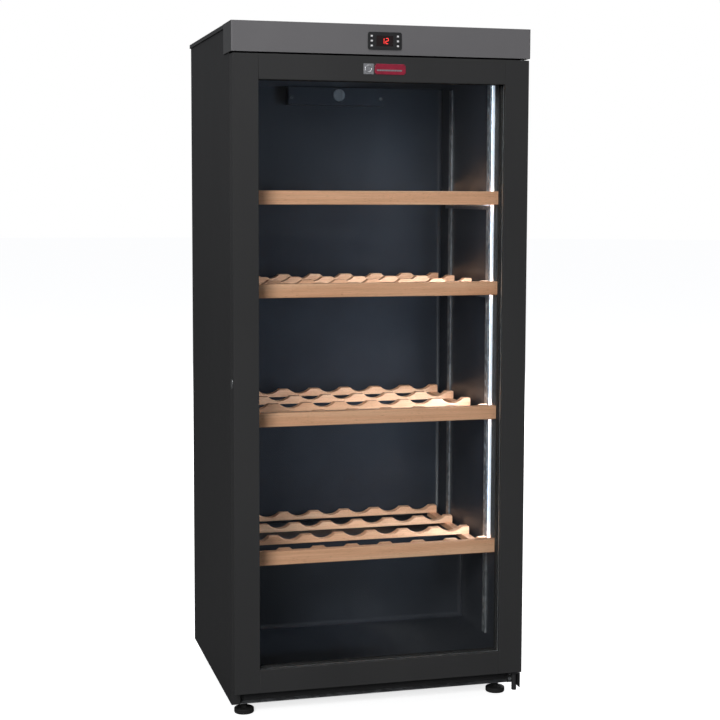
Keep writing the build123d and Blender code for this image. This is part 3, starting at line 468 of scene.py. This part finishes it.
def cabinet_shell():
    """Steel panels, plinth, base plate and hinge brackets with their long edges rounded."""
    for node, width in (("side_panel_left", 0.45), ("side_panel_right", 0.45), ("roof_panel", 0.4),
                        ("rear_panel", 0.4), ("compressor_bay_panel", 0.4), ("front_plinth", 0.45),
                        ("base_plate", 0.6), ("hinge_bracket_lower", 0.9), ("hinge_bracket_upper", 0.7)):
        refined(node, width * MM)


def cover_and_fascia():
    """Moulded cover and fascia, with a softer edge than the steel."""
    refined("top_cover", 1.1 * MM, 3)
    refined("control_fascia", 1.2 * MM, 3, 20 * MM)


def liner():
    """Vacuum-formed liner: wide radii in the corners of the inner space, small ones on its rim."""
    lo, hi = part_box("inner_liner")
    inner_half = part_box("shelf_uprights")[1].x
    corner = 12 * MM
    rim = 1.5 * MM
    slack = 0.1 * MM
    long_edge = 100 * MM
    deep_from = lo.y + 100 * MM

    def width_of(edge):
        a, b = (v.co for v in edge.verts)
        if max(abs(a.x - b.x), abs(a.z - b.z)) <= long_edge:
            return 0.0
        inside = abs(a.x) < inner_half + slack and abs(b.x) < inner_half + slack
        deep = min(a.y, b.y) > deep_from and (a.y + b.y) / 2 < hi.y
        if inside and deep:
            return 1.0
        return rim / corner if max(a.y, b.y) < lo.y + slack else 0.0

    refined("inner_liner", corner, 5, 20 * MM, width_of)


def screws():
    """Pan-head screws with a cross recess; the upright compressor bolts keep plain heads."""
    bm = node_bmesh("screws")
    cutters = bmesh.new()
    recess, slot_w, slot_l = 1.4 * MM, 1.0 * MM, 4.6 * MM
    head_depth = 0.5 * MM
    shank_r = 3 * MM
    for shell in islands(bm):
        points = [v.co for face in shell for v in face.verts]
        lo = Vector([min(p[i] for p in points) for i in range(3)])
        hi = Vector([max(p[i] for p in points) for i in range(3)])
        if hi.z - lo.z > hi.y - lo.y:
            continue
        middle = (lo + hi) / 2
        front_r = max(abs(p.x - middle.x) for p in points if p.y < lo.y + head_depth)
        head_y = lo.y if front_r > shank_r else hi.y
        for a, b in ((slot_w, slot_l), (slot_l, slot_w)):
            bar(cutters, (middle.x - a / 2, head_y - recess, middle.z - b / 2),
                (middle.x + a / 2, head_y + recess, middle.z + b / 2))
    cutter = bpy.data.objects.new("recess_cutter", to_mesh("recess_cutter", cutters))
    bpy.context.scene.collection.objects.link(cutter)
    obj = piece("screws_visual", to_mesh("screws_shape", bm), "screws")
    cut = obj.modifiers.new("recess", "BOOLEAN")
    cut.object = cutter
    cut.operation = "DIFFERENCE"
    cut.solver = "EXACT"
    cut.use_self = True
    bpy.context.view_layer.update()
    done = bpy.data.meshes.new_from_object(obj.evaluated_get(bpy.context.evaluated_depsgraph_get()))
    obj.modifiers.clear()
    obj.data = done
    bpy.data.objects.remove(cutter)


# ------------------------------------------------------------------ controller

SEGMENTS = {"1": "bc", "2": "abged"}


def digit(bm, left, bottom, width, height, y0, y1, lit):
    """The lit bars of one seven-segment digit, as thin six-sided prisms from y0 to y1."""
    thick = 0.16 * width
    gap = 0.25 * thick
    mid = bottom + height / 2
    top = bottom + height
    right = left + width
    ends = {"a": ((left, top), (right, top)), "b": ((right, top), (right, mid)),
            "c": ((right, mid), (right, bottom)), "d": ((left, bottom), (right, bottom)),
            "e": ((left, mid), (left, bottom)),
            "f": ((left, top), (left, mid)), "g": ((left, mid), (right, mid))}
    for letter in lit:
        a, b = (Vector(p) for p in ends[letter])
        along = (b - a).normalized()
        side = Vector((-along.y, along.x)) * thick / 2
        point = along * thick / 2
        a += along * gap
        b -= along * gap
        outline = [a, a + point + side, b - point + side, b, b - point - side, a + point - side]
        front = [bm.verts.new((p.x, y0, p.y)) for p in outline]
        back = [bm.verts.new((p.x, y1, p.y)) for p in outline]
        bm.faces.new(front)
        bm.faces.new(back[::-1])
        bridge(bm, [front, back])


def controller():
    """Bezel, smoked window with two lit digits, and keys with rounded caps."""
    refined("controller_case", 0.5 * MM, 2, 1.5 * MM)
    lo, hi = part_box("display_window")
    sunk = 0.35 * MM
    digit_front = lo.y + 0.12 * MM
    window = bmesh.new()
    bar(window, (lo.x, lo.y + sunk, lo.z), (hi.x, hi.y, hi.z))
    mesh = marked(window, "display_window_shape")
    round_edges(piece("display_window_visual", mesh, "display_window"), 0.2 * MM)
    height = 0.5 * (hi.z - lo.z)
    width = 0.5 * height
    middle = (lo + hi) / 2
    digits = bmesh.new()
    for text, shift in (("1", -1.35), ("2", 0.35)):
        digit(digits, middle.x + shift * width, middle.z - height / 2, width, height,
              digit_front, lo.y + sunk, SEGMENTS[text])
    piece("display_digits", to_mesh("display_digits", digits), "display_window", DIGIT_GLOW, False)
    for node in frame["nodes"]:
        if node.startswith("button_"):
            refined(node, 0.45 * MM, 3, 1 * MM)


# ------------------------------------------------------------------------ door

def door_frame():
    """Painted frame profiles with a small outer radius."""
    for node in ("door_stile_left", "door_stile_right", "door_rail_top", "door_rail_bottom"):
        refined(node, 0.9 * MM, 3, 12 * MM)


def gasket():
    """Magnetic gasket: a foot in the frame, a folded bellows and a flat magnet face."""
    width = 14 * MM
    section = [(0.0, 0.0), (0.05, 0.28), (0.16, 0.36), (0.04, 0.5), (0.04, 0.92), (0.1, 1.0), (0.82, 1.0),
               (0.92, 0.88), (0.84, 0.6), (0.95, 0.45), (0.86, 0.3), (1.0, 0.18), (1.0, 0.0)]
    mesh = ring("door_gasket_shape", "door_gasket", width, section)
    piece("door_gasket_visual", mesh, "door_gasket")


def spacer():
    """Aluminium spacer bar with its folded section and inner groove."""
    width = 9 * MM
    section = [(0.0, 0.03), (0.0, 0.97), (0.12, 1.0), (0.8, 1.0), (1.0, 0.86), (1.0, 0.56), (0.93, 0.5),
               (1.0, 0.44), (1.0, 0.14), (0.8, 0.0), (0.12, 0.0)]
    mesh = ring("glass_spacer_shape", "glass_spacer", width, section)
    piece("glass_spacer_visual", mesh, "glass_spacer")


def badge():
    """Plain silver tile with a raised ring beside a crimson plate with a pale bar; no mark or lettering."""
    lo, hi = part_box("door_badge")
    height = hi.z - lo.z
    gap = 2.5 * MM
    silver_y = lo.y + 0.6 * MM
    crimson_y = lo.y + 0.3 * MM
    left = lo.x + height + gap
    silver = bmesh.new()
    bar(silver, (lo.x, silver_y, lo.z), (lo.x + height, hi.y, hi.z))
    bar(silver, (left + 5 * MM, lo.y, lo.z + 0.32 * height), (hi.x - 9 * MM, silver_y, lo.z + 0.46 * height))
    mesh = marked(silver, "badge_tile", 0.5 * MM)
    round_edges(piece("badge_tile", mesh, "door_badge", SILVER, False), 0.3 * MM)
    badge_ring(lo.x + height / 2, silver_y, lo.z + height / 2, 0.26 * height, 0.36 * height)
    plate = bmesh.new()
    bar(plate, (left, crimson_y, lo.z), (hi.x, hi.y, hi.z))
    through = [e for e in plate.edges if abs(e.verts[0].co.y - e.verts[1].co.y) > 0.5 * MM]
    bmesh.ops.bevel(plate, geom=through, offset=3 * MM, segments=6, affect="EDGES")
    mesh = marked(plate, "badge_plate", 0.2 * MM)
    round_edges(piece("badge_plate", mesh, "door_badge"), 0.4 * MM)


def badge_ring(x, face, z, inner, outer):
    """Half-round ring that stands out of the silver tile."""
    bm = bmesh.new()
    rise = 0.5 * MM
    sunk = 0.05 * MM
    steps = 8
    loops = []
    for i in range(steps + 1):
        turn = math.pi * i / steps
        r = inner + (outer - inner) * (1 - math.cos(turn)) / 2
        y = face - rise * math.sin(turn) + sunk
        loops.append([bm.verts.new((x + r * math.cos(t), y, z + r * math.sin(t))) for t in around(64)])
    bridge(bm, loops, closed=True)
    piece("badge_ring", to_mesh("badge_ring", bm, 50.0), "door_badge", SILVER, False)


def lock():
    """Lock barrel and plug with softened rims."""
    refined("lock_barrel", 0.3 * MM, 2, 0.5 * MM)
    refined("lock_plug", 0.25 * MM, 2, 0.5 * MM)


# --------------------------------------------------------------------- shelves

def shelf(number):
    """Beech board across the front, and behind it rails and scalloped slats with their own grain."""
    refined(f"shelf_{number}_board", 1.2 * MM, 3, 10 * MM)
    node = f"shelf_{number}_frame"
    lo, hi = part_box(node)
    half = (hi.x - lo.x) / 2
    for kind, wanted, material in (("slats", True, MATERIALS["beech"]), ("rails", False, BEECH_DEEP)):
        bm = node_bmesh(node)
        unwanted = []
        for shell in islands(bm):
            xs = [v.co.x for face in shell for v in face.verts]
            if (max(xs) - min(xs) > half) != wanted:
                unwanted.extend(shell)
        bmesh.ops.delete(bm, geom=unwanted, context="FACES")
        mesh = marked(bm, f"shelf_{number}_{kind}", 1.5 * MM)
        round_edges(piece(f"shelf_{number}_{kind}", mesh, node, material), 1.0 * MM)


def shelf_supports():
    """Perforated uprights and the runners that the shelves slide on."""
    refined("shelf_uprights", 0.5 * MM, 2, 3 * MM)
    refined("shelf_runners", 0.5 * MM)


def light():
    """Opal diffuser with fine prism ribs along its face, in a rounded housing."""
    refined("light_housing", 0.4 * MM)
    lo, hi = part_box("light_diffuser")
    bm = bmesh.new()
    ribs = 9
    depth = 0.7 * MM
    step = (hi.y - lo.y) / ribs
    outline = [(hi.x, lo.y), (hi.x, hi.y)]
    for i in range(ribs):
        y = hi.y - step * i
        outline += [(lo.x + depth, y), (lo.x, y - step / 2)]
    outline.append((lo.x + depth, lo.y))
    low = [bm.verts.new((x, y, lo.z)) for x, y in outline]
    high = [bm.verts.new((x, y, hi.z)) for x, y in outline]
    bm.faces.new(low[::-1])
    bm.faces.new(high)
    bridge(bm, [low, high])
    piece("light_diffuser_visual", to_mesh("light_diffuser_shape", bm, 25.0), "light_diffuser")


# ------------------------------------------------------------ duct and cooling

def air_duct():
    """Duct cover, fan and slotted filter cap, with softened edges."""
    refined("air_duct_cover", 1.0 * MM, 3, 5 * MM)
    refined("fan_motor", 0.5 * MM, 2, 2 * MM)
    refined("fan_rotor", 0.25 * MM, 2, 2 * MM)
    refined("charcoal_filter", 0.5 * MM, 2, 0.4 * MM, None, FILTER_GREY)


def compressor():
    """Compressor and its terminal box, with the rolled weld seam round the waist of the shell."""
    refined("compressor", 1.2 * MM, 2, 6 * MM)
    lo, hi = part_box("compressor")
    grommets_lo, grommets_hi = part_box("compressor_grommets")
    centre = (grommets_lo + grommets_hi) / 2
    shell_r = 68 * MM
    sunk = 1.0 * MM
    seam_reach = 2.2 * MM
    seam_half = 3.2 * MM
    steps = 10
    profile = [(shell_r - sunk, -seam_half)]
    for i in range(steps + 1):
        turn = math.pi * (i / steps - 0.5)
        profile.append((shell_r + seam_reach * math.cos(turn), seam_half * math.sin(turn)))
    profile.append((shell_r - sunk, seam_half))
    waist = lo.z + 0.52 * (hi.z - lo.z)
    seam = bmesh.new()
    loops = [[seam.verts.new((centre.x + r * math.cos(t), centre.y + r * math.sin(t), waist + z))
              for t in around(96)] for r, z in profile]
    bridge(seam, loops, closed=True)
    piece("compressor_seam", to_mesh("compressor_seam", seam), "compressor", None, False)


def condenser_wires():
    """Steel wires welded up and down over both sides of the condenser tube."""
    lo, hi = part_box("condenser_coil")
    wire_r = 0.8 * MM
    tube_r = 2.5 * MM
    strip = 2.0 * MM
    weld = 0.1 * MM
    count = 46
    margin = 14 * MM
    tube_y = hi.y - strip - tube_r
    reach = tube_r + wire_r - weld
    profile = [(0.5 * wire_r, lo.z), (wire_r, lo.z + wire_r), (wire_r, hi.z - wire_r), (0.5 * wire_r, hi.z)]
    bm = bmesh.new()
    for i in range(count):
        x = lo.x + margin + (hi.x - lo.x - 2 * margin) * i / (count - 1)
        for y in (tube_y - reach, tube_y + reach):
            turned(bm, (x, y, 0), profile, 8)
    piece("condenser_wires", to_mesh("condenser_wires", bm, 60.0), "condenser_coil", None, False)


def rear_bay():
    """Drain tray and power inlet."""
    refined("drain_pan", 1.0 * MM, 3)
    refined("power_inlet", 0.8 * MM, 2, 2 * MM)


# ------------------------------------------------------------------------ feet

def levelling_foot(side):
    """Ribbed pad, hexagon collar and a rolled thread up to the welded nut."""
    node = f"levelling_foot_{side}"
    lo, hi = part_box(node)
    x, y = (lo.x + hi.x) / 2, (lo.y + hi.y) / 2
    radius = (hi.x - lo.x) / 2
    pad_h = 12 * MM
    rib_from, rib_to = 2.5 * MM, pad_h - 2.5 * MM
    rib_depth = 0.5 * MM
    ribs = 30
    across_hex = 8 * MM
    collar_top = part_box("base_plate")[0].z
    stud_r = 5 * MM
    pitch = 1.5 * MM
    thread_depth = 0.55 * MM
    stud_end = hi.z - 1 * MM
    bm = bmesh.new()

    def ribbed(r, z, turn):
        return r - rib_depth * (1 - math.cos(ribs * turn)) if rib_from < z < rib_to else r

    def threaded(r, z, turn):
        phase = (z / pitch - turn / (2 * math.pi)) % 1.0
        return r - thread_depth * abs(2 * phase - 1)

    pad = [(radius - 3 * MM, 0.0), (radius - 1 * MM, 0.4 * MM), (radius, 2.4 * MM), (radius, 3 * MM),
           (radius, 9 * MM), (radius, 9.8 * MM), (radius - 1 * MM, 11.4 * MM), (radius - 3 * MM, pad_h),
           (9 * MM, pad_h)]
    turned(bm, (x, y, lo.z), pad, 240, ribbed)
    collar = [(6.6 * MM, lo.z + pad_h - 0.5 * MM), (across_hex, lo.z + pad_h),
              (across_hex, collar_top - 0.8 * MM), (7 * MM, collar_top)]
    turned(bm, (x, y, 0), collar, 6)
    steps = int((hi.z - collar_top) / pitch * 6)
    start = collar_top - 0.2 * MM
    stud = [(stud_r, start + (stud_end - collar_top) * i / steps) for i in range(steps + 1)]
    turned(bm, (x, y, 0), stud + [(stud_r - 1 * MM, hi.z)], 24, threaded)
    piece(f"{node}_visual", to_mesh(f"{node}_shape", bm, 40.0), node)


def rear_feet():
    """Fixed rear feet with softened rims."""
    refined("rear_feet", 1.0 * MM, 3, 0.5 * MM)


# ----------------------------------------------------------------------- build

cabinet_shell()
cover_and_fascia()
liner()
screws()
controller()
door_frame()
gasket()
spacer()
badge()
lock()
for shelf_number in (1, 2, 3, 4):
    shelf(shelf_number)
shelf_supports()
light()
air_duct()
compressor()
condenser_wires()
rear_bay()
levelling_foot("left")
levelling_foot("right")
rear_feet()


# ----------------------------------------------------- floor, light and camera

def floor():
    """Plain pale studio floor, which throws back less light than the camera sees in it."""
    bm = bmesh.new()
    bmesh.ops.create_circle(bm, cap_ends=True, radius=40.0, segments=96)
    obj = bpy.data.objects.new("studio_floor", to_mesh("studio_floor", bm))
    bpy.context.scene.collection.objects.link(obj)
    material, tree, principled = new_material("studio_floor", Specular_IOR_Level=0.0)
    seen = add(tree, "ShaderNodeLightPath").outputs["Is Camera Ray"]
    join(tree, principled,
         Base_Color=ramp(tree, seen, [(0.0, (0.12, 0.12, 0.12)), (1.0, (0.8, 0.8, 0.8))]),
         Emission_Color=ramp(tree, seen, [(0.0, (0.0, 0.0, 0.0)), (1.0, (0.75, 0.75, 0.75))]),
         Roughness=spread(tree, noise(tree, even(2)), 0.7, 0.8))
    principled.inputs["Emission Strength"].default_value = 1.0
    obj.data.materials.append(material)


def softbox(name, place_at, aim_at, width, height, power, colour=(1.0, 1.0, 1.0)):
    """A rectangular area light that the camera doesn't see; power is in watts."""
    data = bpy.data.lights.new(name, "AREA")
    data.shape = "RECTANGLE"
    data.size = width
    data.size_y = height
    data.energy = power
    data.color = colour
    lamp = bpy.data.objects.new(name, data)
    bpy.context.scene.collection.objects.link(lamp)
    lamp.location = place_at
    lamp.rotation_euler = (Vector(aim_at) - Vector(place_at)).to_track_quat("-Z", "Y").to_euler()
    lamp.visible_camera = False
    return lamp


def studio():
    """White surroundings as seen by the camera, dimmer as a light, with three large softboxes."""
    world = bpy.data.worlds.new("studio")
    bpy.context.scene.world = world
    world.use_nodes = True
    tree = world.node_tree
    tree.nodes.clear()
    seen = add(tree, "ShaderNodeBackground", {"Color": (1.0, 1.0, 1.0, 1.0), "Strength": 1.0})
    lit = add(tree, "ShaderNodeBackground", {"Color": (0.94, 0.96, 1.0, 1.0), "Strength": 0.3})
    rays = add(tree, "ShaderNodeLightPath")
    mixed = add(tree, "ShaderNodeMixShader", {0: rays.outputs["Is Camera Ray"], 1: lit.outputs["Background"],
                                              2: seen.outputs["Background"]})
    output = add(tree, "ShaderNodeOutputWorld")
    tree.links.new(mixed.outputs["Shader"], output.inputs["Surface"])
    middle = (0.0, 0.0, 0.9)
    softbox("key_softbox", (-3.0, -5.4, 2.9), middle, 2.2, 2.2, 260)
    softbox("rear_softbox", (2.6, 5.4, 2.9), middle, 2.2, 2.2, 220)
    softbox("top_softbox", (0.0, -0.8, 5.2), middle, 4.0, 4.0, 130)


def cabinet_light():
    """The strip's own cool light across the shelves."""
    lo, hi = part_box("light_diffuser")
    clear = 4 * MM
    start = (lo.x - clear, (lo.y + hi.y) / 2, (lo.z + hi.z) / 2)
    aim = (start[0] - 0.5, start[1] + 0.4, start[2])
    lamp = softbox("strip_light", start, aim, hi.y - lo.y, hi.z - lo.z, 5.0, (0.66, 0.82, 1.0))
    lamp.visible_glossy = False
    lamp.data.spread = math.radians(150)


def camera():
    """A long lens to the left of the cabinet, a little above its middle; angles are in radians."""
    data = bpy.data.cameras.new("camera")
    data.lens = 76.75
    data.sensor_width = 36.0
    data.shift_y = -0.04
    obj = bpy.data.objects.new("camera", data)
    bpy.context.scene.collection.objects.link(obj)
    yaw, pitch, roll = 0.2607, -0.0887, 0.0032
    level = Matrix.Rotation(-yaw, 4, "Z") @ Matrix.Rotation(math.pi / 2 + pitch, 4, "X")
    turn = level @ Matrix.Rotation(roll, 4, "Z")
    obj.matrix_world = Matrix.Translation((-0.9661, -3.7275, 1.222)) @ turn
    bpy.context.scene.camera = obj


floor()
studio()
cabinet_light()
camera()
bpy.context.scene.view_settings.view_transform = "Standard"
